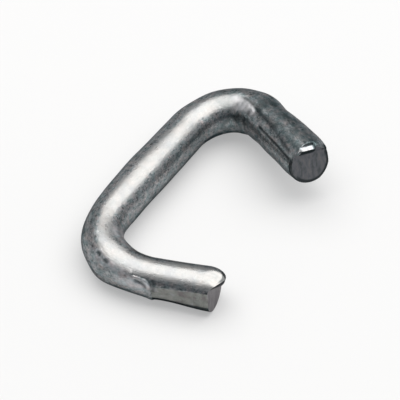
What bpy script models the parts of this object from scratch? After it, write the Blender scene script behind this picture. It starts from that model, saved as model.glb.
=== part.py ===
"""Shock cord crimp: one length of round zinc-coated steel wire, sheared at both ends and bent into an open C.

Sizes are in metres and +Z is up. The crimp lies as it does on a bench. Its spine runs along X, both legs point
towards -Y, and the origin is at the middle of the bottom of its bounding box.
"""

import math

import bmesh
import bpy
from mathutils import Matrix, Vector

# The wire
WIRE_DIAMETER = 0.0030
SIDES_BEVEL = 14
RINGS_PER_RUN = 13

# The straight runs, measured to the corners where their middle lines would meet
SPINE_LENGTH = 0.0208
LEFT_LEG_LENGTH = 0.01115
RIGHT_LEG_LENGTH = 0.0117

# The angle inside each corner, and how far the right leg springs up out of the plane of the rest
LEFT_CORNER_ANGLE = math.radians(72.5)
RIGHT_CORNER_ANGLE = math.radians(62.8)
RIGHT_LEG_RISE = math.radians(10.0)

# How far from its corner each bend starts, on the leg and on the spine, and how full the bend is
LEFT_BEND_ON_LEG = 0.0060
LEFT_BEND_ON_SPINE = 0.0060
LEFT_BEND_FULLNESS = 0.58
RIGHT_BEND_ON_LEG = 0.0050
RIGHT_BEND_ON_SPINE = 0.0057
RIGHT_BEND_FULLNESS = 0.47

# How much forming adds to the wire's diameter at the sheared ends, or takes from it at the bends
LEFT_END_SWELL = 0.00015
LEFT_BEND_THINNING = 0.00019
BEND_THINNING = 0.00003
SPINE_SWELL = 0.00010
RIGHT_BEND_SWELL = 0.00025
RIGHT_END_SWELL = 0.00031

# Shearing rolls one side of each end over. Directions turn round the leg, from up, at zero, to outward
LEFT_ROLL_DIRECTION = math.radians(-46.0)
LEFT_ROLL_LENGTH = 0.0012
LEFT_ROLL_INSET = 0.0006
RIGHT_ROLL_DIRECTION = math.radians(70.0)
RIGHT_ROLL_LENGTH = 0.0015
RIGHT_ROLL_INSET = 0.00045
RIM_ROUNDING = 0.00015

# The blade leaves a flat face, slanted back towards one side, and a lip stands proud of it where the wire tore
# off. The lip's height is measured at its foot, and its wall leans over from upright
LEFT_FACE_SLANT = math.radians(5.5)
LEFT_SLANT_DIRECTION = math.radians(43.0)
LEFT_LIP_DIRECTION = math.radians(-37.0)
LEFT_LIP_OFFSET = 0.00005
LEFT_LIP_HEIGHT = 0.0006
LEFT_LIP_LEAN = math.radians(45.0)
RIGHT_FACE_SLANT = math.radians(4.0)
RIGHT_SLANT_DIRECTION = math.radians(-10.0)
RIGHT_LIP_DIRECTION = math.radians(-14.0)
RIGHT_LIP_OFFSET = 0.00085
RIGHT_LIP_HEIGHT = 0.00016
RIGHT_LIP_LEAN = math.radians(10.0)

# The jaws that bent the wire leave a flat on the outer side of each leg, from a shoulder to the leg's end
JAW_FLAT_LENGTH = 0.0047
JAW_FLAT_DEPTH = 0.00012
CUTTER_MARGIN = 0.0010

SMOOTH_ANGLE = math.radians(28.0)
WELD_DISTANCE = 0.000001

RADIUS = WIRE_DIAMETER / 2
UP = Vector((0, 0, 1))


class Leg:
    """One leg: its corner, the way it points, and the directions round it."""

    def __init__(self, corner, direction, length, end_swell):
        self.corner = corner
        self.direction = direction
        self.end = corner + direction * length
        self.radius = RADIUS + end_swell / 2
        self.outward = direction.cross(UP).normalized()
        if self.outward.x * corner.x < 0:
            self.outward.negate()
        self.top = direction.cross(self.outward)
        if self.top.dot(UP) < 0:
            self.top.negate()

    def towards(self, angle):
        """The direction square to the leg at an angle from its top, turning outward."""
        return self.top * math.cos(angle) + self.outward * math.sin(angle)


def leg_direction(corner_angle, rise, towards_middle):
    level = math.cos(rise)
    return Vector((
        towards_middle * math.cos(corner_angle) * level,
        -math.sin(corner_angle) * level,
        math.sin(rise),
    ))


def straight_point(co, before, after, swell):
    """A control point on straight wire, with its handles on the line to its neighbours."""
    return co, co.lerp(before, 1 / 3), co.lerp(after, 1 / 3), swell


def wire_points(left, right):
    """The middle line's control points: where each one is, its two handles and the wire's swell there."""
    left_nose = left.end - left.direction * LEFT_ROLL_LENGTH
    left_start = left.corner + left.direction * LEFT_BEND_ON_LEG
    left_finish = left.corner + Vector((LEFT_BEND_ON_SPINE, 0, 0))
    right_start = right.corner - Vector((RIGHT_BEND_ON_SPINE, 0, 0))
    right_finish = right.corner + right.direction * RIGHT_BEND_ON_LEG
    right_nose = right.end - right.direction * RIGHT_ROLL_LENGTH
    middle = (left_finish + right_start) / 2
    return [
        straight_point(left.end, left.end, left_nose, LEFT_END_SWELL),
        straight_point(left_nose, left.end, left_start, LEFT_END_SWELL),
        (left_start, left_start.lerp(left_nose, 1 / 3),
         left_start.lerp(left.corner, LEFT_BEND_FULLNESS), -LEFT_BEND_THINNING),
        (left_finish, left_finish.lerp(left.corner, LEFT_BEND_FULLNESS),
         left_finish.lerp(middle, 1 / 3), -BEND_THINNING),
        straight_point(middle, left_finish, right_start, SPINE_SWELL),
        (right_start, right_start.lerp(middle, 1 / 3),
         right_start.lerp(right.corner, RIGHT_BEND_FULLNESS), -BEND_THINNING),
        (right_finish, right_finish.lerp(right.corner, RIGHT_BEND_FULLNESS),
         right_finish.lerp(right_nose, 1 / 3), RIGHT_BEND_SWELL),
        straight_point(right_nose, right_finish, right.end, RIGHT_END_SWELL),
        straight_point(right.end, right_nose, right.end, RIGHT_END_SWELL),
    ]


def bent_wire(name, points, collection):
    """A round wire along a Bezier curve, turned into a closed mesh with its caps welded on."""
    curve = bpy.data.curves.new(name + "_line", "CURVE")
    curve.dimensions = "3D"
    curve.twist_mode = "Z_UP"
    curve.bevel_depth = RADIUS
    curve.bevel_resolution = SIDES_BEVEL
    curve.use_fill_caps = True
    curve.resolution_u = RINGS_PER_RUN
    spline = curve.splines.new("BEZIER")
    spline.radius_interpolation = "LINEAR"
    spline.bezier_points.add(len(points) - 1)
    for knot, (co, handle_before, handle_after, swell) in zip(spline.bezier_points, points):
        knot.handle_left_type = "FREE"
        knot.handle_right_type = "FREE"
        knot.co = co
        knot.handle_left = handle_before
        knot.handle_right = handle_after
        knot.radius = 1 + swell / WIRE_DIAMETER
    line = bpy.data.objects.new(name + "_line", curve)
    collection.objects.link(line)
    bpy.context.view_layer.update()

    depsgraph = bpy.context.evaluated_depsgraph_get()
    mesh = bpy.data.meshes.new_from_object(line.evaluated_get(depsgraph))
    mesh.name = name
    bm = bmesh.new()
    bm.from_mesh(mesh)
    bmesh.ops.remove_doubles(bm, verts=bm.verts, dist=WELD_DISTANCE)
    bmesh.ops.recalc_face_normals(bm, faces=bm.faces)
    bm.to_mesh(mesh)
    bm.free()
    wire = bpy.data.objects.new(name, mesh)
    wire.matrix_world = line.matrix_world
    collection.objects.link(wire)
    bpy.data.objects.remove(line)
    return wire


def roll_over(wire, leg, roll_direction, roll_length, roll_inset):
    """Round the end's rim, most of all on the side that the blade pushed in."""
    for vertex in wire.data.vertices:
        offset = leg.end - vertex.co
        back = offset.dot(leg.direction)
        if back > roll_length or offset.length > roll_length + WIRE_DIAMETER:
            continue
        centre = leg.end - leg.direction * back
        spoke = vertex.co - centre
        angle = math.atan2(spoke.dot(leg.outward), spoke.dot(leg.top))
        share = max(0.0, math.cos(angle - roll_direction))
        inset = RIM_ROUNDING + (roll_inset - RIM_ROUNDING) * share
        length = RIM_ROUNDING + (roll_length - RIM_ROUNDING) * share
        if back < length:
            rounding = 1 - math.sqrt(1 - min(1.0, 1 - back / length) ** 2)
            vertex.co = centre + spoke * (1 - inset * rounding / leg.radius)


def block_cutter(name, corner, x_axis, y_axis, z_axis, size, collection):
    """A block with one corner edge at a point: it reaches along X and Z, and as far to both sides along Y."""
    bm = bmesh.new()
    bmesh.ops.create_cube(bm, size=1.0)
    bmesh.ops.scale(bm, verts=bm.verts, vec=size)
    bmesh.ops.translate(bm, verts=bm.verts, vec=(size[0] / 2, 0, size[2] / 2))
    bm.transform(Matrix((x_axis, y_axis, z_axis)).transposed().to_4x4())
    mesh = bpy.data.meshes.new(name)
    bm.to_mesh(mesh)
    bm.free()
    cutter = bpy.data.objects.new(name, mesh)
    cutter.matrix_world = Matrix.Translation(corner)
    cutter.hide_render = True
    cutter.display_type = "WIRE"
    collection.objects.link(cutter)
    return cutter


def jaw_cutter(name, leg, collection):
    """The jaw: its lower face lies along the outer side of the leg, from the shoulder to past the end."""
    shoulder = leg.end - leg.direction * JAW_FLAT_LENGTH + leg.outward * (RADIUS - JAW_FLAT_DEPTH)
    size = (JAW_FLAT_LENGTH + CUTTER_MARGIN, 2 * WIRE_DIAMETER, WIRE_DIAMETER)
    across = leg.outward.cross(leg.direction)
    return block_cutter(name, shoulder, leg.direction, across, leg.outward, size, collection)


def shear_cutter(name, leg, slant, slant_direction, lip_direction, lip_offset, lip_height, lip_lean,
                 collection):
    """The blade: it takes the end off along a slanted face, up to the foot of the lip's leaning wall."""
    face_normal = leg.direction * math.cos(slant) + leg.towards(slant_direction) * math.sin(slant)
    away_from_lip = -leg.towards(lip_direction)
    away_from_lip = (away_from_lip - face_normal * away_from_lip.dot(face_normal)).normalized()
    along_foot = away_from_lip.cross(face_normal)
    wall = face_normal * math.cos(lip_lean) - away_from_lip * math.sin(lip_lean)
    foot = leg.end - leg.direction * lip_height - away_from_lip * lip_offset
    size = (WIRE_DIAMETER, 2 * WIRE_DIAMETER, 2 * WIRE_DIAMETER)
    return block_cutter(name, foot, wall, along_foot, away_from_lip, size, collection)


def cut_away(wire, cutter):
    cut = wire.modifiers.new(cutter.name, "BOOLEAN")
    cut.operation = "DIFFERENCE"
    cut.solver = "EXACT"
    cut.object = cutter


def zinc_coated_steel(name):
    material = bpy.data.materials.new(name)
    material.use_nodes = True
    shader = material.node_tree.nodes["Principled BSDF"]
    shader.inputs["Base Color"].default_value = (0.31, 0.32, 0.33, 1.0)
    shader.inputs["Metallic"].default_value = 1.0
    shader.inputs["Roughness"].default_value = 0.32
    return material


def stand_on_origin(wire, tools):
    """Move the wire and its cutters so that the origin is under the middle of the cut wire's box."""
    bpy.context.view_layer.update()
    cut_wire = wire.evaluated_get(bpy.context.evaluated_depsgraph_get())
    corners = [cut_wire.matrix_world @ vertex.co for vertex in cut_wire.data.vertices]
    low = Vector([min(corner[axis] for corner in corners) for axis in range(3)])
    high = Vector([max(corner[axis] for corner in corners) for axis in range(3)])
    shift = Matrix.Translation((-(low.x + high.x) / 2, -(low.y + high.y) / 2, -low.z))
    for item in [wire] + tools:
        item.matrix_world = shift @ item.matrix_world


for leftover in list(bpy.data.objects):
    bpy.data.objects.remove(leftover)
crimp = bpy.data.collections.new("shock_cord_crimp")
cutters = bpy.data.collections.new("cutters")
bpy.context.scene.collection.children.link(crimp)
bpy.context.scene.collection.children.link(cutters)

left_leg = Leg(
    corner=Vector((-SPINE_LENGTH / 2, 0, 0)),
    direction=leg_direction(LEFT_CORNER_ANGLE, 0.0, 1),
    length=LEFT_LEG_LENGTH,
    end_swell=LEFT_END_SWELL,
)
right_leg = Leg(
    corner=Vector((SPINE_LENGTH / 2, 0, 0)),
    direction=leg_direction(RIGHT_CORNER_ANGLE, RIGHT_LEG_RISE, -1),
    length=RIGHT_LEG_LENGTH,
    end_swell=RIGHT_END_SWELL,
)

crimp_wire = bent_wire("crimp_wire", wire_points(left_leg, right_leg), crimp)
roll_over(crimp_wire, left_leg, LEFT_ROLL_DIRECTION, LEFT_ROLL_LENGTH, LEFT_ROLL_INSET)
roll_over(crimp_wire, right_leg, RIGHT_ROLL_DIRECTION, RIGHT_ROLL_LENGTH, RIGHT_ROLL_INSET)
tools = [
    jaw_cutter("left_jaw", left_leg, cutters),
    jaw_cutter("right_jaw", right_leg, cutters),
    shear_cutter("left_blade", left_leg, LEFT_FACE_SLANT, LEFT_SLANT_DIRECTION, LEFT_LIP_DIRECTION,
                 LEFT_LIP_OFFSET, LEFT_LIP_HEIGHT, LEFT_LIP_LEAN, cutters),
    shear_cutter("right_blade", right_leg, RIGHT_FACE_SLANT, RIGHT_SLANT_DIRECTION, RIGHT_LIP_DIRECTION,
                 RIGHT_LIP_OFFSET, RIGHT_LIP_HEIGHT, RIGHT_LIP_LEAN, cutters),
]
for tool in tools:
    cut_away(crimp_wire, tool)
stand_on_origin(crimp_wire, tools)

crimp_wire.data.materials.append(zinc_coated_steel("zinc_coated_steel"))
crimp_wire.data.shade_smooth()
crimp_wire.data.set_sharp_from_angle(angle=SMOOTH_ANGLE)
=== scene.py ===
import math

import bpy
import numpy as np
from mathutils import Matrix, Vector, noise


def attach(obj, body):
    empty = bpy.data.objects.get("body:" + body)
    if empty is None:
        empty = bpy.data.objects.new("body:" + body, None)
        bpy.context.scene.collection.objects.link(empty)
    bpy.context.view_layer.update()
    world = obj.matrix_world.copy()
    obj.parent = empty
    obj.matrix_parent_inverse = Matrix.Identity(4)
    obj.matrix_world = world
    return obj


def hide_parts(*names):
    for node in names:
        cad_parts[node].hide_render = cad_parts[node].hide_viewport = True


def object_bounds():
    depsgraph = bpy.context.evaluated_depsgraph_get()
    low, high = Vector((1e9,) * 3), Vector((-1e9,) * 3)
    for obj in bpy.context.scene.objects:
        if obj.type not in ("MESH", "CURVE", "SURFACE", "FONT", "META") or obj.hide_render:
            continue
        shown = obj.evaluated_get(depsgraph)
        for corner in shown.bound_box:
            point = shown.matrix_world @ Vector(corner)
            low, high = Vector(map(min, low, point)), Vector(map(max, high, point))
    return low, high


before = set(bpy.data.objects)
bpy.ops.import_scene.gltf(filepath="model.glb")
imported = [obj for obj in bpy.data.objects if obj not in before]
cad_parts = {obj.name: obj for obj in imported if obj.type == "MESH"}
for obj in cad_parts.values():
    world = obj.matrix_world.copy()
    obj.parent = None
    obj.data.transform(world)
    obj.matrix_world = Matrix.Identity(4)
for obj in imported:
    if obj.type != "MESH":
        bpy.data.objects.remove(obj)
cad_low, cad_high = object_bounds()


# The crimp wire. One length of 3 mm low-carbon steel wire, drawn round and zinc coated, cropped at both ends and
# bent twice into an open C. The forming tool's jaws left a flat on each leg, and nothing is fixed to it.
MM = 1000.0
wire_radius = 0.0015
spine_length = 0.0208
left_leg_length, right_leg_length = 0.01115, 0.0117
left_corner_angle, right_corner_angle = math.radians(72.5), math.radians(62.8)
right_leg_rise = math.radians(10.0)
left_bend_on_leg, left_bend_on_spine, left_bend_fullness = 0.0060, 0.0060, 0.58
right_bend_on_leg, right_bend_on_spine, right_bend_fullness = 0.0050, 0.0057, 0.47
left_roll_length, right_roll_length = 0.0012, 0.0015

# How thick the wire is against its nominal size. Bending drew it thinner on the left, and shearing swelled its ends.
left_end_swell, left_bend_swell, bend_swell, spine_swell = 1.05, 0.937, 0.99, 1.033
right_bend_swell, right_end_swell = 1.083, 1.103


def leg_direction(corner_angle, rise, towards_middle):
    level = math.cos(rise)
    return np.array([towards_middle * math.cos(corner_angle) * level, -math.sin(corner_angle) * level,
                     math.sin(rise)])


def between(start, end, share):
    return start + (end - start) * share


def straight_run(start, end, swell_start, swell_end):
    """A straight run of the wire's middle line: its ends, its two handles, and how thick it is at both ends."""
    return start, between(start, end, 1 / 3), between(end, start, 1 / 3), end, swell_start, swell_end


def bent_run(start, corner, end, fullness, swell_start, swell_end):
    """A bend of the middle line. Its handles reach towards the corner, and the more they do, the fuller it is."""
    return start, between(start, corner, fullness), between(end, corner, fullness), end, swell_start, swell_end


left_corner = np.array([-spine_length / 2, 0.0, 0.0])
right_corner = -left_corner
left_way = leg_direction(left_corner_angle, 0.0, 1)
right_way = leg_direction(right_corner_angle, right_leg_rise, -1)
left_end = left_corner + left_way * left_leg_length
right_end = right_corner + right_way * right_leg_length
left_roll_in = left_end - left_way * left_roll_length
right_roll_in = right_end - right_way * right_roll_length
left_bend_in = left_corner + left_way * left_bend_on_leg
left_bend_out = left_corner + np.array([left_bend_on_spine, 0.0, 0.0])
right_bend_in = right_corner - np.array([right_bend_on_spine, 0.0, 0.0])
right_bend_out = right_corner + right_way * right_bend_on_leg
spine_middle = (left_bend_out + right_bend_in) / 2
wire_runs = [
    straight_run(left_end, left_roll_in, left_end_swell, left_end_swell),
    straight_run(left_roll_in, left_bend_in, left_end_swell, left_bend_swell),
    bent_run(left_bend_in, left_corner, left_bend_out, left_bend_fullness, left_bend_swell, bend_swell),
    straight_run(left_bend_out, spine_middle, bend_swell, spine_swell),
    straight_run(spine_middle, right_bend_in, spine_swell, bend_swell),
    bent_run(right_bend_in, right_corner, right_bend_out, right_bend_fullness, bend_swell, right_bend_swell),
    straight_run(right_bend_out, right_roll_in, right_bend_swell, right_end_swell),
    straight_run(right_roll_in, right_end, right_end_swell, right_end_swell),
]
steps_in_run = 300
line_points, line_swell = [], []
for start, handle_out, handle_in, end, swell_start, swell_end in wire_runs:
    t = np.linspace(0, 1, steps_in_run, endpoint=False)[:, None]
    line_points.append((1 - t) ** 3 * start + 3 * (1 - t) ** 2 * t * handle_out
                       + 3 * (1 - t) * t * t * handle_in + t ** 3 * end)
    line_swell.append(swell_start + (swell_end - swell_start) * t[:, 0])
line_points = np.vstack(line_points + [right_end[None, :]])
line_swell = np.append(np.concatenate(line_swell), right_end_swell)
line_along = np.concatenate([[0], np.cumsum(np.linalg.norm(np.diff(line_points, axis=0), axis=1))])
wire_length = line_along[-1]


def at_rings(line_values):
    """The middle line's points or directions, read off at each ring."""
    return np.stack([np.interp(rings_along, line_along, line_values[:, axis]) for axis in range(3)], axis=1)


# The rings along the wire stand closest at the rolled ends and at the jaw's shoulder, where the form turns fastest.
# The nose of the left end reaches a little past the end of its leg, so the rings start in that spare length.
left_spare = 0.00036
end_reach, end_rings, end_crowding = 0.0020, 46, 1.7
shoulder_from, shoulder_to = 0.0042, 0.0062
plain_spacing, shoulder_spacing = 0.00010, 0.00004
end_shares = np.linspace(0, 1, end_rings) ** end_crowding
rings_along = np.concatenate([
    (end_reach + left_spare) * end_shares - left_spare,
    np.arange(end_reach, shoulder_from, plain_spacing)[1:],
    np.arange(shoulder_from, shoulder_to, shoulder_spacing),
    np.arange(shoulder_to, wire_length - end_reach, plain_spacing),
    wire_length - end_reach * end_shares[::-1],
])
ring_count, side_count = len(rings_along), 160
ring_centre = at_rings(line_points)
ring_swell = np.interp(rings_along, line_along, line_swell)
ring_way = at_rings(np.gradient(line_points, line_along, axis=0))
ring_way /= np.linalg.norm(ring_way, axis=1)[:, None]
ring_centre += ring_way * np.minimum(rings_along, 0.0)[:, None]
ring_outward = np.cross([0.0, 0.0, 1.0], ring_way)
ring_outward /= np.linalg.norm(ring_outward, axis=1)[:, None]
ring_top = np.cross(ring_way, ring_outward)

# Directions round the wire start at its top and turn to the outer side of the C, which is at a quarter turn. Places
# along the wire count from the end of the left leg.
round_angle = np.linspace(-math.pi, math.pi, side_count, endpoint=False)
along = np.repeat(rings_along[:, None], side_count, axis=1)
angle = np.repeat(round_angle[None, :], ring_count, axis=0)
along_mm, round_degrees = along * MM, np.degrees(angle)
from_right_end = wire_length - along


def soft_step(value, low, high):
    """0 below low, 1 above high, and a smooth rise between."""
    share = np.clip((value - low) / (high - low), 0, 1)
    return share * share * (3 - 2 * share)


def band(value, low, full_from, full_to, high):
    """1 from full_from to full_to, and a smooth fall to 0 at low and at high."""
    return soft_step(value, low, full_from) * (1 - soft_step(value, full_to, high))


def bell(gap, width):
    """1 on a mark, fading away over about its width."""
    return np.exp(-(gap / width) ** 2)


def soft_least(first, second, width):
    """The smaller of two values, with the corner between them rounded."""
    share = np.clip(0.5 + 0.5 * (second - first) / width, 0, 1)
    return second + (first - second) * share - width * share * (1 - share)


def rolled(radius, back, roll_direction, roll_length, roll_inset, end_swell, rim):
    """Draw the end's rim in, most of all on the side that the blade pushed over."""
    share = np.maximum(0.0, np.cos(angle - roll_direction))
    inset = rim + (roll_inset - rim) * share
    length = rim + (roll_length - rim) * share
    rounding = 1 - np.sqrt(np.maximum(0.0, 1 - np.clip(1 - back / length, 0, 1) ** 2))
    return radius * (1 - inset * rounding / (wire_radius * end_swell))


def noise_over(scale_along, scale_round, seed):
    """Smooth noise over the wire's skin, from -1 to 1, with a scale per mm along it and one round it."""
    seed_shift = Vector((seed * 17.3, seed * 9.1, seed * 5.7))
    round_reach = wire_radius * MM * scale_round
    values = np.empty(along.shape)
    for ring in range(ring_count):
        x = rings_along[ring] * MM * scale_along
        for side in range(side_count):
            spot = Vector((x, math.cos(round_angle[side]) * round_reach, math.sin(round_angle[side]) * round_reach))
            values[ring, side] = noise.noise(spot + seed_shift)
    return values


def distance_to_line(points):
    """How far each spot of the skin is, in mm, from a line scribed through (mm along, degrees round) points."""
    across_mm = angle * wire_radius * MM
    least = np.full(along.shape, 1e9)
    for (start_along, start_round), (end_along, end_round) in zip(points[:-1], points[1:]):
        start = np.array([start_along, math.radians(start_round) * wire_radius * MM])
        end = np.array([end_along, math.radians(end_round) * wire_radius * MM])
        run = end - start
        share = np.clip(((along_mm - start[0]) * run[0] + (across_mm - start[1]) * run[1]) / (run @ run), 0, 1)
        gap = np.hypot(along_mm - start[0] - share * run[0], across_mm - start[1] - share * run[1])
        least = np.minimum(least, gap)
    return least


# The blade rolled each rim over on the side that it pushed. The left end's cap slants forward to a nose, and the
# right end's stands a little back from the leg's end, but for the torn lip on top.
left_roll_direction, left_roll_inset, left_rim = math.radians(-46.0), 0.0006, 0.00015
left_nose_direction, left_nose_slope, left_nose_lead = math.radians(53.0), 0.20, 0.00004
right_roll_direction, right_roll_inset, right_rim = math.radians(70.0), 0.00033, 0.00013
right_slant_direction, right_cap_slope, right_lip_height = math.radians(-10.0), 0.07, 0.00016
left_lip_direction, right_lip_direction = math.radians(-37.0), math.radians(8.0)
right_lip_fades = 0.46, 0.58
radius = np.repeat((wire_radius * ring_swell)[:, None], side_count, axis=1)
left_cap = -left_nose_lead - left_nose_slope * wire_radius * np.cos(angle - left_nose_direction)
radius = rolled(radius, along - left_cap, left_roll_direction, left_roll_length, left_roll_inset, left_end_swell,
                left_rim)
right_lip_share = soft_step(np.cos(angle - right_lip_direction), *right_lip_fades)
right_cap = ((right_lip_height + right_cap_slope * wire_radius * np.cos(angle - right_slant_direction))
             * (1 - right_lip_share))
radius = rolled(radius, from_right_end - right_cap, right_roll_direction, right_roll_length, right_roll_inset,
                right_end_swell, right_rim)

# Bending squashed the section: it bulges on the inner side of each bend and is drawn flat on the outer side. Each
# line: mm along, degrees round, its reach both ways, and the height in mm.
squashes = [
    (10.6, -75.0, 1.9, 45.0, 0.13),
    (8.3, -52.0, 1.5, 42.0, 0.17),
    (11.5, -20.0, 1.6, 25.0, -0.03),
    (13.6, -107.0, 1.8, 40.0, 0.11),
    (12.0, 100.0, 2.0, 50.0, -0.10),
    (12.4, 55.0, 1.6, 40.0, -0.10),
    (9.2, 92.0, 0.6, 30.0, -0.05),
    (8.2, 112.0, 0.8, 42.0, 0.13),
    (6.4, 112.0, 0.8, 40.0, -0.05),
    (10.3, -46.0, 1.2, 24.0, 0.07),
    (4.9, 124.0, 0.45, 30.0, 0.08),
    (3.2, 122.0, 1.0, 25.0, -0.05),
    (3.0, -46.0, 2.4, 40.0, -0.05),
    (17.4, 50.0, 1.2, 35.0, 0.045),
    (24.7, 40.0, 1.0, 40.0, -0.05),
    (25.6, 60.0, 0.9, 45.0, 0.06),
    (28.3, 32.0, 0.5, 30.0, -0.05),
    (30.7, 52.0, 0.9, 38.0, -0.11),
    (32.0, 48.0, 0.8, 35.0, -0.03),
    (28.3, -95.0, 0.8, 40.0, 0.06),
    (28.9, -52.0, 1.4, 26.0, 0.165),
    (0.5, 128.0, 1.2, 25.0, -0.01),
    (36.3, 2.0, 1.6, 42.0, -0.08),
    (27.9, -120.0, 1.0, 35.0, 0.06),
    (31.0, -115.0, 0.7, 35.0, -0.06),
    (35.0, -110.0, 0.8, 35.0, 0.06),
]
for squash_along, squash_round, reach_along, reach_round, height in squashes:
    turn = round_degrees - squash_round
    turn = (turn + 180) % 360 - 180
    radius += height / MM * np.exp(-((along_mm - squash_along) / reach_along) ** 2 - (turn / reach_round) ** 2)

# The flats that the jaws pressed. The left one starts at a crescent-shaped shoulder with a raised edge, and a fold
# runs beside that edge.
flat_length, flat_depth, flat_run_out, flat_edge = 0.0047, 0.00012, 0.00010, 0.00003
shoulder_line = [(6.1, 50.0), (5.76, 51.0), (5.33, 52.5), (5.08, 58.0), (4.84, 67.0), (4.76, 80.0), (4.70, 140.0)]
fold_line = [(5.78, 60.8), (5.64, 61.0), (5.40, 64.0), (5.20, 71.0), (5.15, 76.0)]
ridge_height, ridge_width_mm = 0.000042, 0.26
fold_depth, fold_width_mm = 0.000034, 0.14
shoulder_at = np.interp(round_degrees, [p[1] for p in shoulder_line], [p[0] for p in shoulder_line]) / MM
left_flat_share = 1 - soft_step(along, shoulder_at - flat_run_out, shoulder_at)
right_flat_share = soft_step(along, wire_length - flat_length - flat_run_out, wire_length - flat_length)
flat_plane = wire_radius - flat_depth
outward_share = np.maximum(np.sin(angle), 0.02)
for flat_share in (left_flat_share, right_flat_share):
    flattened = soft_least(radius, flat_plane / outward_share, flat_edge)
    radius = radius + (flattened - radius) * flat_share
radius += ridge_height * bell(distance_to_line(shoulder_line), ridge_width_mm) * (1 - left_flat_share)
fold_gap = distance_to_line(fold_line)
radius -= fold_depth * bell(fold_gap, fold_width_mm)

# Shearing pressed a facet on top of each end. The left one dips towards the nose and runs out behind it.
steepest_cosine = 0.2
nose_direction, nose_height, nose_dip, nose_length = math.radians(7.0), 0.001575, 0.00026, 0.0012
nose_run_out, nose_round = 0.002, 0.00007
nose_plane = nose_height - nose_dip * (1 - np.clip(along / nose_length, -0.5, 1))
nose_facet = (nose_plane / np.maximum(np.cos(angle - nose_direction), steepest_cosine)
              + nose_run_out * soft_step(along, 0.0011, 0.0013))
radius = soft_least(radius, nose_facet, nose_round)

# The right one is a low step, with a wall behind it and one on both sides. Its floor is painted bright as a
# highlight, and its edge is painted dark as shade.
step_direction_degrees, step_middle_degrees = 9.0, -17.5
step_height, step_slope, step_round = 0.00115, 0.56, 0.00002
back_wall, side_wall = 0.0010, 0.0008
step_turn = round_degrees - step_direction_degrees
step_beside = np.abs(step_turn - step_middle_degrees)
step_floor = ((step_height + step_slope * from_right_end)
              / np.maximum(np.cos(np.radians(step_turn)), steepest_cosine))
step_facet = (step_floor + back_wall * soft_step(from_right_end, 0.00025, 0.00055)
              + side_wall * soft_step(step_beside, 21.5, 30.0))
step_sides = soft_step(step_beside, 16.0, 22.0)
step_cut = soft_step(radius - step_facet, -0.00006, -0.00001)
step_glint = step_cut * (1 - soft_step(from_right_end, 0.00023, 0.00030)) * (1 - step_sides)
step_edge = (soft_step(radius - step_facet, -0.00020, -0.00005)
             * np.maximum(soft_step(from_right_end, 0.00026, 0.00031), step_sides))
radius = soft_least(radius, step_facet, step_round)

# Marks of forming: a thumb-shaped edge and two wandering creases along the right leg, and three round nicks with
# raised rims, each nick with its place and size.
wander = 0.10 * noise_over(0.9, 1.6, 3)
thumb_edge = distance_to_line([(27.6, -10.0), (28.2, -15.0), (29.4, -26.5), (30.2, -32.0)]) + 0.4 * wander
crease_upper = distance_to_line([(29.9, -29.0), (31.2, -31.0), (33.1, -38.5), (35.5, -50.0)]) + wander
crease_lower = distance_to_line([(31.4, -56.5), (31.9, -58.4), (33.7, -60.5), (35.9, -67.0)]) + 0.3 * wander
nicks = [(8.54, 41.6, 0.19), (7.87, 46.3, 0.20), (29.75, -48.5, 0.22)]
nick_gap = np.full(along.shape, 1e9)
for nick_along, nick_round, nick_size in nicks:
    gap = np.hypot(along_mm - nick_along, (angle - math.radians(nick_round)) * wire_radius * MM) / nick_size
    nick_gap = np.minimum(nick_gap, gap)

# Each line: the mark's height in metres, how far each spot is from it, and its width, in mm or in nick sizes.
forming_marks = [
    (-0.000030, thumb_edge, 0.22),
    (-0.000014, crease_upper, 0.20),
    (-0.000020, crease_lower, 0.12),
    (-0.000060, nick_gap, 1.0),
    (0.000016, nick_gap - 1.5, 0.5),
]
for mark_height, mark_gap, mark_width in forming_marks:
    radius += mark_height * bell(mark_gap, mark_width)

# A slow unevenness all over, in two scales.
broad_unevenness, fine_unevenness = 0.000009, 0.0000035
radius += broad_unevenness * noise_over(0.4, 0.7, 1) + fine_unevenness * noise_over(1.1, 2.0, 2)

ring_spots = (ring_centre[:, None, :] + radius[:, :, None] * (
    np.cos(angle)[:, :, None] * ring_top[:, None, :] + np.sin(angle)[:, :, None] * ring_outward[:, None, :]))


# The two sheared faces. The blade takes the end off along a slanted face and tears the last of the wire away, which
# leaves a lip standing proud of the face on the side that was rolled over.
lip_foot, lip_round, nose_edge_round = 0.00002, 0.00004, 0.00012


def towards(direction, top_part, outward_part):
    """How far a spot of the wire's section lies in a direction round the wire."""
    return top_part * math.cos(direction) + outward_part * math.sin(direction)


def back_of_face(top_part, outward_part, slant, slant_direction, lip_direction, lip_offset, lip_height, lip_lean,
                 nose_back, nose_slope, nose_direction):
    """How far behind the leg's end the sheared surface lies, over the wire's section."""
    face = lip_height + towards(slant_direction, top_part, outward_part) * math.tan(slant)
    past_lip = towards(lip_direction, top_part, outward_part) - lip_offset
    wall = face - (past_lip - lip_foot) / math.tan(lip_lean)
    nose = nose_back - nose_slope * towards(nose_direction, top_part, outward_part)
    return -soft_least(-soft_least(face, wall, lip_round), -nose, nose_edge_round)


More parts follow.
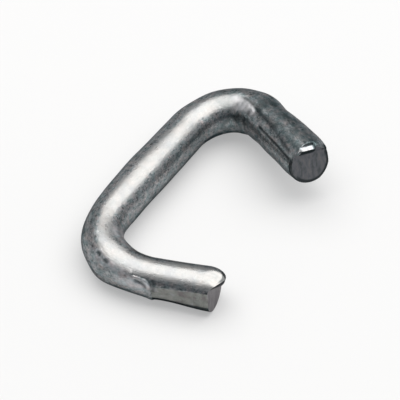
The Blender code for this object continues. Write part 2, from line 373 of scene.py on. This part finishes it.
left_face = dict(slant=math.radians(5.5), slant_direction=math.radians(43.0), lip_direction=left_lip_direction,
                 lip_offset=0.00005, lip_height=0.0006, lip_lean=math.radians(45.0), nose_back=-left_nose_lead,
                 nose_slope=left_nose_slope, nose_direction=left_nose_direction)
right_face = dict(slant=math.radians(4.0), slant_direction=right_slant_direction, lip_direction=right_lip_direction,
                  lip_offset=0.00088, lip_height=right_lip_height, lip_lean=math.radians(10.0), nose_back=0.0,
                  nose_slope=0.0, nose_direction=0.0)
face_rings, face_crowding = 26, 1.3
settle_rounds = 12
caps = []
for at_left, face in ((True, left_face), (False, right_face)):
    end_ring = 0 if at_left else ring_count - 1
    back = rings_along if at_left else wire_length - rings_along
    near = np.where(back < end_reach)[0]
    near = near if at_left else near[::-1]
    top_axis, outward_axis, way_out = ring_top[end_ring], ring_outward[end_ring], ring_way[end_ring]
    way_out = -way_out if at_left else way_out
    end_spot = left_end if at_left else right_end

    # The last rings are moved along the wire until the end one lies on the rim of the sheared face.
    columns, backs = radius[near], back[near]
    for side in range(side_count):
        turn = round_angle[side]
        rim_back = 0.0
        for _ in range(settle_rounds):
            rim_radius = np.interp(rim_back, backs, columns[:, side])
            rim_back = float(back_of_face(rim_radius * math.cos(turn), rim_radius * math.sin(turn), **face))
        moved = rim_back + (backs - backs[0]) * (end_reach - rim_back) / (end_reach - backs[0])
        new_radius = np.interp(moved, backs, columns[:, side])
        spoke = top_axis * math.cos(turn) + outward_axis * math.sin(turn)
        ring_spots[near, side] = end_spot - moved[:, None] * way_out + new_radius[:, None] * spoke

    # The face's own rings, from the rim to its middle, and how dark each of their spots is painted, as shade at the
    # torn lip and round the rim.
    rim = ring_spots[end_ring] - end_spot
    rim_top, rim_outward = rim @ top_axis, rim @ outward_axis
    rings, crescent = [], []
    for step in range(1, face_rings):
        share = 1 - (step / face_rings) ** face_crowding
        top_part, outward_part = rim_top * share, rim_outward * share
        depth = back_of_face(top_part, outward_part, **face)
        rings.append(end_spot + top_part[:, None] * top_axis + outward_part[:, None] * outward_axis
                     - depth[:, None] * way_out)
        if at_left:
            crescent.append(0.85 * soft_step(towards(left_lip_direction, top_part, outward_part), 0.00010, 0.00022))
        else:
            above = towards(right_lip_direction, top_part, outward_part)
            beside = outward_part * math.cos(right_lip_direction) - top_part * math.sin(right_lip_direction)
            under_lip = soft_step(above, 0.00070, 0.00077) * (1 - soft_step(np.abs(beside + 0.00042), 0.0005, 0.0007))
            along_rim = 0.85 * soft_step(np.cos(round_angle - math.radians(140.0)), -0.30, 0.10)
            crescent.append(np.maximum(under_lip, along_rim * soft_step(share, 0.84, 0.92)))
    middle = end_spot - float(back_of_face(0.0, 0.0, **face)) * way_out
    caps.append((rings, middle, crescent))

# One mesh: the rings of the skin, then the rings of each sheared face and its middle.
verts = list(ring_spots.reshape(-1, 3))
faces = []
for ring in range(ring_count - 1):
    for side in range(side_count):
        after = (side + 1) % side_count
        faces.append((ring * side_count + side, ring * side_count + after,
                      (ring + 1) * side_count + after, (ring + 1) * side_count + side))
face_start = []
for (rings, middle, crescent), at_left in zip(caps, (True, False)):
    face_start.append(len(verts))
    inner_start = 0 if at_left else (ring_count - 1) * side_count
    for spots in rings:
        new_start = len(verts)
        verts.extend(spots)
        for side in range(side_count):
            after = (side + 1) % side_count
            quad = (inner_start + side, new_start + side, new_start + after, inner_start + after)
            faces.append(quad if at_left else quad[::-1])
        inner_start = new_start
    verts.append(middle)
    for side in range(side_count):
        after = (side + 1) % side_count
        tip = (inner_start + side, len(verts) - 1, inner_start + after)
        faces.append(tip if at_left else tip[::-1])
verts = np.array(verts)

# So far the middle of the spine is at zero. The wire is centred in the CAD's box and laid on its floor, which puts
# the middle of the spine at spine_spot.
box_middle = (np.array(cad_low) + np.array(cad_high)) / 2
spine_spot = box_middle - (verts.min(axis=0) + verts.max(axis=0)) / 2
spine_spot[2] = cad_low[2] - verts[:, 2].min()
verts += spine_spot

wire_mesh = bpy.data.meshes.new("crimp_wire_skin")
wire_mesh.from_pydata([tuple(v) for v in verts], [], faces)
wire_mesh.shade_smooth()
crimp_wire = bpy.data.objects.new("crimp_wire_skin", wire_mesh)
bpy.context.scene.collection.objects.link(crimp_wire)

# What the finish needs to know at each point: where it lies on the straightened wire in mm, and how strong each mark
# is there, from 0 to 1.
skin_points = ring_count * side_count
straightened = verts * MM
straightened[:skin_points, 0] = along_mm.ravel()
straightened[:skin_points, 1] = (np.cos(angle) * wire_radius * MM).ravel()
straightened[:skin_points, 2] = (np.sin(angle) * wire_radius * MM).ravel()


def over_mesh(skin_values):
    """One value for each point of the mesh: these over the wire's skin, and 0 on the sheared faces."""
    values = np.zeros(len(verts))
    values[:skin_points] = skin_values.ravel()
    return values


left_sheared, right_sheared = np.zeros(len(verts)), np.zeros(len(verts))
left_sheared[face_start[0]:face_start[1]] = 1.0
right_sheared[face_start[1]:] = 1.0
flat_touch = soft_step(radius * np.sin(angle), flat_plane - 0.00005, flat_plane - 0.00001)
pressed = over_mesh(flat_touch * (left_flat_share + right_flat_share))

# Tarnish and painted shade: the skin is painted dark underneath and on the inner sides, where shade falls, and over
# spots whose highlight is damped, in tarnish-like patches. Each line: its strength and where it lies.
right_leg = soft_step(along_mm, 28.0, 30.5)
not_right_leg = 1 - right_leg
underside = soft_step(round_degrees, 92, 124) + soft_step(-round_degrees, 84, 112)
inner_side = soft_step(-round_degrees, 62, 84) * soft_step(along_mm, 7.0, 11.0)
outer_side = soft_step(round_degrees, 34, 52) * soft_step(along_mm, 9.2, 10.6)
beside_nicks = soft_step(round_degrees, 58, 72) * band(along_mm, 6.8, 7.8, 8.4, 9.2)
upper_bend_side = soft_step(-round_degrees, 50, 62) * soft_step(along_mm, 24.0, 26.5)
right_leg_top = band(round_degrees, -44, -30, 18, 46)
low_on_left_leg = soft_step(round_degrees, 66, 84) * (1 - soft_step(along_mm, 9.0, 10.0))
lower_bend_top = band(along_mm, 9.2, 10.2, 11.4, 12.6) * band(round_degrees, -7, 5, 24, 38)
tarnish_and_painted_shade = over_mesh(np.maximum.reduce([
    underside * not_right_leg,
    0.30 * inner_side * not_right_leg,
    0.60 * outer_side * not_right_leg,
    0.45 * beside_nicks,
    0.85 * upper_bend_side * not_right_leg,
    0.35 * soft_step(-round_degrees, 70, 95) * right_leg,
    0.85 * right_leg_top * right_leg * (1 - step_glint),
    0.38 * soft_step(along_mm, 24.5, 26.5) * not_right_leg,
    0.30 * low_on_left_leg * (1 - left_flat_share),
    0.34 * lower_bend_top,
]))

# Rubbed metal and painted highlights: bright colour where the tool slid or pressed, and painted on as a highlight
# over the step's glint, the thumb of the upper bend, the nicks' rims, the shoulder's ridge and the inner side of the
# lower bend. Each line: its strength and where it lies.
smeared = band(along_mm, 4.7, 5.3, 6.2, 7.6) * band(round_degrees, 44, 58, 74, 96)
ridge_line = [(5.9, 56.0), (5.66, 54.6), (5.41, 54.4), (5.20, 56.0), (5.05, 62.5), (4.90, 71.0)]
ridge_top = bell(distance_to_line(ridge_line), 0.13)
nick_rim = bell(nick_gap - 1.45, 0.35) * (1 - soft_step(along_mm, 20, 21))
thumb_slope = 9 * (along_mm - 28.2)
thumb = (band(along_mm, 26.8, 28.0, 29.9, 30.4) * (1 - soft_step(-round_degrees, 46, 54))
         * soft_step(-round_degrees, 14 + thumb_slope, 17 + thumb_slope))
inside_lower_bend = band(-round_degrees, 22, 38, 76, 98) * band(along_mm, 6.6, 7.8, 10.0, 11.2)
before_shoulder = band(along_mm, 5.9, 6.9, 7.5, 8.1) * band(round_degrees, 34, 42, 52, 62)
rubbed_and_painted_highlight = over_mesh(np.maximum.reduce([
    0.7 * smeared * (1 - left_flat_share),
    ridge_top * (1 - left_flat_share),
    0.9 * nick_rim,
    step_glint,
    0.9 * thumb,
    0.9 * inside_lower_bend,
    0.75 * before_shoulder,
]))

# Burnish and painted highlight: a smooth lighter stripe along the top of the wire, laid where the lamp's highlight
# falls. Its middle and half width, in degrees, change along the wire, and it ends where the right leg starts.
highlight_stripe_middle = np.interp(along_mm, [0, 5, 7, 9, 10.5, 12, 14, 22, 26, 28, 30],
                           [12, 14, 14, 4, -14, -15, -14, -12, -14, -28, -42])
highlight_stripe_half = np.interp(along_mm, [0, 7, 9, 10.5, 12, 14, 25, 28, 30, 30.6],
                         [33, 30, 26, 17, 20, 24, 24, 19, 13, -20])
highlight_stripe_edge = highlight_stripe_half + 10 * noise_over(0.9, 1.4, 5)
burnish_and_highlight = over_mesh(1 - soft_step(np.abs(round_degrees - highlight_stripe_middle), highlight_stripe_edge - 7, highlight_stripe_edge + 7))

# Painted shade: near-black colour in creases, nicks, along edges and round the rims, where shade falls. Each line:
# its strength and where it lies.
jaw_step_gap = distance_to_line([(4.60, 54.0), (4.58, 84.0)])
rim_ring = (soft_step(np.cos(angle - math.radians(172.0)), -0.75, -0.45)
            * (1 - soft_step(from_right_end, 0.00022, 0.00034)))
nose_rim = soft_step(-round_degrees, -30, -12) * (1 - soft_step(along - left_cap, 0.00010, 0.00018))
spine_inner_edge = band(-round_degrees, 97, 106, 128, 150) * band(along_mm, 10.0, 11.5, 24.0, 26.0)
left_flat_lower_edge = band(round_degrees, 107, 112, 134, 150) * left_flat_share
painted_shade = over_mesh(np.maximum.reduce([
    0.60 * bell(thumb_edge, 0.10) * soft_step(along_mm, 27.6, 28.4),
    0.75 * bell(crease_upper, 0.15),
    0.95 * bell(crease_lower, 0.12),
    bell(nick_gap, 0.80) - 0.55 * bell(nick_gap, 0.35),
    0.9 * rim_ring,
    0.75 * nose_rim,
    0.40 * spine_inner_edge,
    0.50 * step_edge,
    0.70 * bell(fold_gap, 0.11),
    0.60 * bell(jaw_step_gap, 0.16),
    0.90 * left_flat_lower_edge,
]))
for start, (rings, middle, crescent) in zip(face_start, caps):
    painted_shade[start:start + len(crescent) * side_count] = np.concatenate(crescent)

for name, values in (("left_sheared", left_sheared), ("right_sheared", right_sheared), ("pressed", pressed),
                     ("rubbed_and_painted_highlight", rubbed_and_painted_highlight), ("burnish_and_highlight", burnish_and_highlight), ("tarnish_and_painted_shade", tarnish_and_painted_shade), ("painted_shade", painted_shade)):
    layer = wire_mesh.attributes.new(name, "FLOAT", "POINT")
    layer.data.foreach_set("value", values.astype(np.float32))
layer = wire_mesh.attributes.new("straightened", "FLOAT_VECTOR", "POINT")
layer.data.foreach_set("vector", straightened.astype(np.float32).ravel())

# Zinc-coated steel: a dull bluish grey skin, clouded in patches a millimetre long, with fine drawn lines along the
# wire, specks of dirt in the low spots, tarnish and painted shade underneath, painted highlights along the top and on
# the marks, and bare steel on the sheared faces.
zinc = bpy.data.materials.new("zinc_coated_steel")
zinc.use_nodes = True
nodes, links = zinc.node_tree.nodes, zinc.node_tree.links
shader = nodes["Principled BSDF"]
shader.inputs["Metallic"].default_value = 1.0
shader.inputs["Specular Tint"].default_value = (0.30, 0.31, 0.32, 1)


def skin_value(name, output="Fac"):
    """What the mesh says at each point: the strength of a mark, or its place on the straightened wire."""
    node = nodes.new("ShaderNodeAttribute")
    node.attribute_name = name
    return node.outputs[output]


def skin_noise(scale, stretch, detail, roughness=0.6, upright=1.0):
    """Noise on the straightened wire, with its grain stretched along the wire, or upright on a sheared face."""
    mapping = nodes.new("ShaderNodeMapping")
    mapping.inputs["Scale"].default_value = (stretch, 1.0, upright)
    links.new(skin_value("straightened", "Vector"), mapping.inputs["Vector"])
    texture = nodes.new("ShaderNodeTexNoise")
    texture.inputs["Scale"].default_value = scale
    texture.inputs["Detail"].default_value = detail
    texture.inputs["Roughness"].default_value = roughness
    links.new(mapping.outputs["Vector"], texture.inputs["Vector"])
    return texture.outputs["Fac"]


def colour_ramp(source, stops):
    ramp = nodes.new("ShaderNodeValToRGB")
    elements = ramp.color_ramp.elements
    elements[0].position, elements[0].color = stops[0][0], (*stops[0][1], 1)
    elements[1].position, elements[1].color = stops[-1][0], (*stops[-1][1], 1)
    for position, colour in stops[1:-1]:
        elements.new(position).color = (*colour, 1)
    links.new(source, ramp.inputs["Fac"])
    return ramp.outputs["Color"]


def value_range(source, low, high, new_low, new_high):
    node = nodes.new("ShaderNodeMapRange")
    node.inputs["From Min"].default_value = low
    node.inputs["From Max"].default_value = high
    node.inputs["To Min"].default_value = new_low
    node.inputs["To Max"].default_value = new_high
    links.new(source, node.inputs["Value"])
    return node.outputs["Result"]


def blend_colours(share, first, second, kind="MIX"):
    """The first colour, changed to the second (a node's colour or a plain one) by a node's share."""
    node = nodes.new("ShaderNodeMix")
    node.data_type = "RGBA"
    node.blend_type = kind
    links.new(share, node.inputs["Factor"])
    links.new(first, node.inputs["A"])
    if isinstance(second, tuple):
        node.inputs["B"].default_value = (*second, 1)
    else:
        links.new(second, node.inputs["B"])
    return node.outputs["Result"]


def reckon(kind, first, second):
    """A sum on two values. The second may be a plain number."""
    node = nodes.new("ShaderNodeMath")
    node.operation = kind
    links.new(first, node.inputs[0])
    if isinstance(second, float):
        node.inputs[1].default_value = second
    else:
        links.new(second, node.inputs[1])
    return node.outputs["Value"]


def pits(scale, size):
    """Round pits scattered over the skin, 1 in the middle of each."""
    texture = nodes.new("ShaderNodeTexVoronoi")
    texture.inputs["Scale"].default_value = scale
    links.new(skin_value("straightened", "Vector"), texture.inputs["Vector"])
    return value_range(texture.outputs["Distance"], 0.4 * size, size, 1.0, 0.0)


# The skin: lighter clouds on the stripe of burnish and painted highlight along the top, and a mottled dull grey
# elsewhere, with pits and specks.
clouds = colour_ramp(skin_noise(scale=1.1, stretch=0.7, detail=3.0), [
    (0.34, (0.33, 0.335, 0.34)),
    (0.50, (0.36, 0.36, 0.355)),
    (0.66, (0.385, 0.375, 0.365)),
])
dull_skin = colour_ramp(skin_noise(scale=3.4, stretch=0.75, detail=5.0, roughness=0.62), [
    (0.33, (0.13, 0.15, 0.16)),
    (0.43, (0.235, 0.26, 0.262)),
    (0.52, (0.31, 0.32, 0.335)),
    (0.60, (0.38, 0.365, 0.365)),
    (0.70, (0.46, 0.46, 0.45)),
])
pit_colour, speck_colour, bright_speck_colour = (0.05, 0.055, 0.06), (0.07, 0.08, 0.085), (0.58, 0.58, 0.59)
skin_colour = blend_colours(skin_value("burnish_and_highlight"), dull_skin, clouds)
pit_share = reckon("MULTIPLY", pits(1.5, 0.19), value_range(skin_value("burnish_and_highlight"), 0.0, 1.0, 0.8, 0.1))
skin_colour = blend_colours(pit_share, skin_colour, pit_colour)
speck_noise = skin_noise(scale=9.0, stretch=0.8, detail=2.0)
off_the_stripe = value_range(skin_value("burnish_and_highlight"), 0.0, 1.0, 1.0, 0.15)
dark_specks = reckon("MULTIPLY", value_range(speck_noise, 0.34, 0.42, 0.65, 0.0), off_the_stripe)
skin_colour = blend_colours(dark_specks, skin_colour, speck_colour)
bright_specks = reckon("MULTIPLY", value_range(speck_noise, 0.57, 0.65, 0.0, 0.65), off_the_stripe)
skin_colour = blend_colours(bright_specks, skin_colour, bright_speck_colour)

# Over it, tarnish and painted shade, and rubbed metal and painted highlights, in broken patches, and faint teal and
# pink tints, weakest on the stripe.
tarnish_and_shade_colour, rubbed_highlight_colour = (0.085, 0.108, 0.112), (0.62, 0.61, 0.63)
tarnish_and_shade_patches = value_range(skin_noise(scale=1.6, stretch=0.6, detail=4.0, roughness=0.65), 0.38, 0.58, 0.35, 1.1)
skin_colour = blend_colours(reckon("MULTIPLY", skin_value("tarnish_and_painted_shade"), tarnish_and_shade_patches), skin_colour, tarnish_and_shade_colour)
rubbed_highlight_patches = value_range(skin_noise(scale=2.4, stretch=0.7, detail=4.0), 0.36, 0.60, 1.0, 0.35)
rubbed_highlight_share = reckon("MULTIPLY", skin_value("rubbed_and_painted_highlight"), rubbed_highlight_patches)
skin_colour = blend_colours(rubbed_highlight_share, skin_colour, rubbed_highlight_colour)
tints = colour_ramp(skin_noise(scale=2.1, stretch=0.8, detail=2.0), [
    (0.36, (0.90, 1.03, 1.04)),
    (0.50, (1.0, 1.0, 1.0)),
    (0.64, (1.08, 0.99, 0.96)),
])
tint_share = value_range(skin_value("burnish_and_highlight"), 0.0, 1.0, 0.7, 0.12)
skin_colour = blend_colours(tint_share, skin_colour, tints, "MULTIPLY")

# The pressed flats, the two sheared faces with their upright grain, and painted shade over everything.
painted_shade_colour = (0.02, 0.026, 0.028)
pressed_patches = colour_ramp(skin_noise(scale=1.3, stretch=0.8, detail=3.0, roughness=0.5), [
    (0.36, (0.135, 0.12, 0.12)),
    (0.47, (0.19, 0.195, 0.18)),
    (0.58, (0.215, 0.22, 0.205)),
    (0.68, (0.29, 0.29, 0.30)),
])
skin_colour = blend_colours(reckon("MULTIPLY", skin_value("pressed"), 0.85), skin_colour, pressed_patches)
left_steel = colour_ramp(skin_noise(scale=3.0, stretch=1.0, detail=4.0, roughness=0.55, upright=0.4), [
    (0.38, (0.27, 0.255, 0.265)),
    (0.62, (0.38, 0.365, 0.37)),
])
skin_colour = blend_colours(skin_value("left_sheared"), skin_colour, left_steel)
right_steel = colour_ramp(skin_noise(scale=3.6, stretch=1.0, detail=4.0, roughness=0.55, upright=0.3), [
    (0.34, (0.082, 0.090, 0.094)),
    (0.50, (0.122, 0.126, 0.138)),
    (0.66, (0.152, 0.150, 0.154)),
])
skin_colour = blend_colours(skin_value("right_sheared"), skin_colour, right_steel)
skin_colour = blend_colours(skin_value("painted_shade"), skin_colour, painted_shade_colour)
links.new(skin_colour, shader.inputs["Base Color"])

# The skin is uneven in its shine, and the sheared metal, the rubbed metal and the painted highlights are a little
# rougher than the rest.
mottle = skin_noise(scale=4.5, stretch=0.6, detail=5.0, roughness=0.7)
sheared_share = reckon("ADD", skin_value("left_sheared"), skin_value("right_sheared"))
worn_share = reckon("MAXIMUM", sheared_share, rubbed_highlight_share)
skin_roughness = reckon("ADD", value_range(mottle, 0.3, 0.7, 0.38, 0.24), reckon("MULTIPLY", worn_share, 0.15))
links.new(skin_roughness, shader.inputs["Roughness"])

# Fine relief: low clouds of zinc, and the lines that drawing left along the wire.
cloud_relief = skin_noise(scale=3.2, stretch=0.5, detail=4.0)
drawn_lines = skin_noise(scale=12.0, stretch=0.25, detail=2.0)
bump = nodes.new("ShaderNodeBump")
bump.inputs["Strength"].default_value = 1.0
bump.inputs["Distance"].default_value = 0.000018
links.new(reckon("ADD", cloud_relief, reckon("MULTIPLY", drawn_lines, 0.3)), bump.inputs["Height"])
links.new(bump.outputs["Normal"], shader.inputs["Normal"])
wire_mesh.materials.append(zinc)
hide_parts("crimp_wire")
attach(crimp_wire, "root")


# The floor: one sheet of plain white card under the crimp, wide enough to fill every view from above. It has no
# texture, and keeps the crimp's soft shadow.
card_half = 1.5
card_grey = 0.69
plain_white_share = 0.35
floor_mesh = bpy.data.meshes.new("floor_card")
floor_mesh.from_pydata([(-card_half, -card_half, 0), (card_half, -card_half, 0), (card_half, card_half, 0),
                        (-card_half, card_half, 0)], [], [(0, 1, 2, 3)])
floor_card = bpy.data.objects.new("floor_card", floor_mesh)
floor_card.location.z = cad_low[2]
bpy.context.scene.collection.objects.link(floor_card)
card = bpy.data.materials.new("white_card")
card.use_nodes = True
card_nodes, card_links = card.node_tree.nodes, card.node_tree.links
paper = card_nodes["Principled BSDF"]
paper.inputs["Base Color"].default_value = (card_grey, card_grey, card_grey, 1)
paper.inputs["Roughness"].default_value = 0.9
paper.inputs["Specular IOR Level"].default_value = 0.0

# A share of plain white, for the camera and for what the wire mirrors, keeps the card pale and its shadow light.
white = card_nodes.new("ShaderNodeEmission")
white.inputs["Strength"].default_value = 1.0
seen = card_nodes.new("ShaderNodeLightPath")
seen_share = seen.outputs["Is Camera Ray"]
for kind in ("Is Glossy Ray", "Is Transmission Ray"):
    either = card_nodes.new("ShaderNodeMath")
    either.operation = "MAXIMUM"
    card_links.new(seen_share, either.inputs[0])
    card_links.new(seen.outputs[kind], either.inputs[1])
    seen_share = either.outputs["Value"]
white_share = card_nodes.new("ShaderNodeMath")
white_share.operation = "MULTIPLY"
card_links.new(seen_share, white_share.inputs[0])
white_share.inputs[1].default_value = plain_white_share
mixed = card_nodes.new("ShaderNodeMixShader")
card_links.new(white_share.outputs["Value"], mixed.inputs["Fac"])
card_links.new(paper.outputs["BSDF"], mixed.inputs[1])
card_links.new(white.outputs["Emission"], mixed.inputs[2])
card_links.new(mixed.outputs["Shader"], card_nodes["Material Output"].inputs["Surface"])
floor_mesh.materials.append(card)


# The camera: a long lens 300 mm away, looking down at 45 degrees over the open end of the right leg. In the 400 x 400
# frame the middle of the spine lies up and to the left of the frame's middle.
view_azimuth, view_elevation = math.radians(57.211), math.radians(45.0)
camera_distance = 0.3
pixels_per_mm = 14.213
frame_middle = 200.0
spine_pixel_x, spine_pixel_y = 149.53, 171.38
view_right = Vector((math.cos(view_azimuth), -math.sin(view_azimuth), 0.0))
view_away = Vector((math.sin(view_azimuth), math.cos(view_azimuth), 0.0))
view_up = view_away * math.sin(view_elevation) + Vector((0, 0, math.cos(view_elevation)))
view_back = Vector((0, 0, math.sin(view_elevation))) - view_away * math.cos(view_elevation)
aim = (Vector(spine_spot) + view_right * ((frame_middle - spine_pixel_x) / pixels_per_mm / MM)
       - view_up * ((frame_middle - spine_pixel_y) / pixels_per_mm / MM))
lens = bpy.data.cameras.new("long_lens")
lens.sensor_width = 36.0
lens.lens = lens.sensor_width / 2 / (frame_middle / pixels_per_mm / (camera_distance * MM))
lens.clip_start = 0.01
camera = bpy.data.objects.new("long_lens", lens)
camera.matrix_world = (Matrix.Translation(aim + view_back * camera_distance)
                       @ Matrix((view_right, view_up, view_back)).transposed().to_4x4())
bpy.context.scene.collection.objects.link(camera)
bpy.context.scene.camera = camera


# The lamp: one big soft box overhead, set back from the camera and to its right. Its edges are given as shares of its
# height, to the camera's right and away from the camera.
box_height = 0.5
box_left, box_right, box_front, box_back = -0.76, 1.15, -0.38, 1.03
lamp_level = 2.35
soft_box = bpy.data.lights.new("soft_box", "AREA")
soft_box.shape = "RECTANGLE"
soft_box.size = (box_right - box_left) * box_height
soft_box.size_y = (box_back - box_front) * box_height
soft_box.color = (1.0, 0.985, 0.965)
soft_box.energy = lamp_level * math.pi * soft_box.size * soft_box.size_y
box_lamp = bpy.data.objects.new("soft_box", soft_box)
box_spot = (view_right * (box_left + box_right) + view_away * (box_front + box_back)) * box_height / 2
box_lamp.matrix_world = (Matrix.Translation(box_spot + Vector((0, 0, box_height)))
                         @ Matrix((view_right, view_away, Vector((0, 0, 1)))).transposed().to_4x4())
bpy.context.scene.collection.objects.link(box_lamp)


# The room is grey all round, and darker low down behind the camera, where the lamp's light doesn't reach.
room_grey, room_dark = (0.45, 0.46, 0.47, 1), (0.09, 0.10, 0.115, 1)
room = bpy.data.worlds.new("grey_room")
room.use_nodes = True
room_nodes, room_links = room.node_tree.nodes, room.node_tree.links
direction = room_nodes.new("ShaderNodeTexCoord")
facing = room_nodes.new("ShaderNodeVectorMath")
facing.operation = "DOT_PRODUCT"
facing.inputs[1].default_value = -view_away
split = room_nodes.new("ShaderNodeSeparateXYZ")
room_links.new(direction.outputs["Generated"], facing.inputs[0])
room_links.new(direction.outputs["Generated"], split.inputs["Vector"])


def room_share(source, low, high, new_low, new_high):
    node = room_nodes.new("ShaderNodeMapRange")
    node.interpolation_type = "SMOOTHSTEP"
    for socket, value in zip(("From Min", "From Max", "To Min", "To Max"), (low, high, new_low, new_high)):
        node.inputs[socket].default_value = value
    room_links.new(source, node.inputs["Value"])
    return node.outputs["Result"]


dark_share = room_nodes.new("ShaderNodeMath")
dark_share.operation = "MULTIPLY"
room_links.new(room_share(facing.outputs["Value"], 0.50, 0.85, 0.0, 1.0), dark_share.inputs[0])
room_links.new(room_share(split.outputs["Z"], 0.45, 0.70, 1.0, 0.0), dark_share.inputs[1])
room_colour = room_nodes.new("ShaderNodeMix")
room_colour.data_type = "RGBA"
room_colour.inputs["A"].default_value = room_grey
room_colour.inputs["B"].default_value = room_dark
room_links.new(dark_share.outputs["Value"], room_colour.inputs["Factor"])
room_links.new(room_colour.outputs["Result"], room_nodes["Background"].inputs["Color"])
bpy.context.scene.world = room
bpy.context.scene.view_settings.view_transform = "Standard"
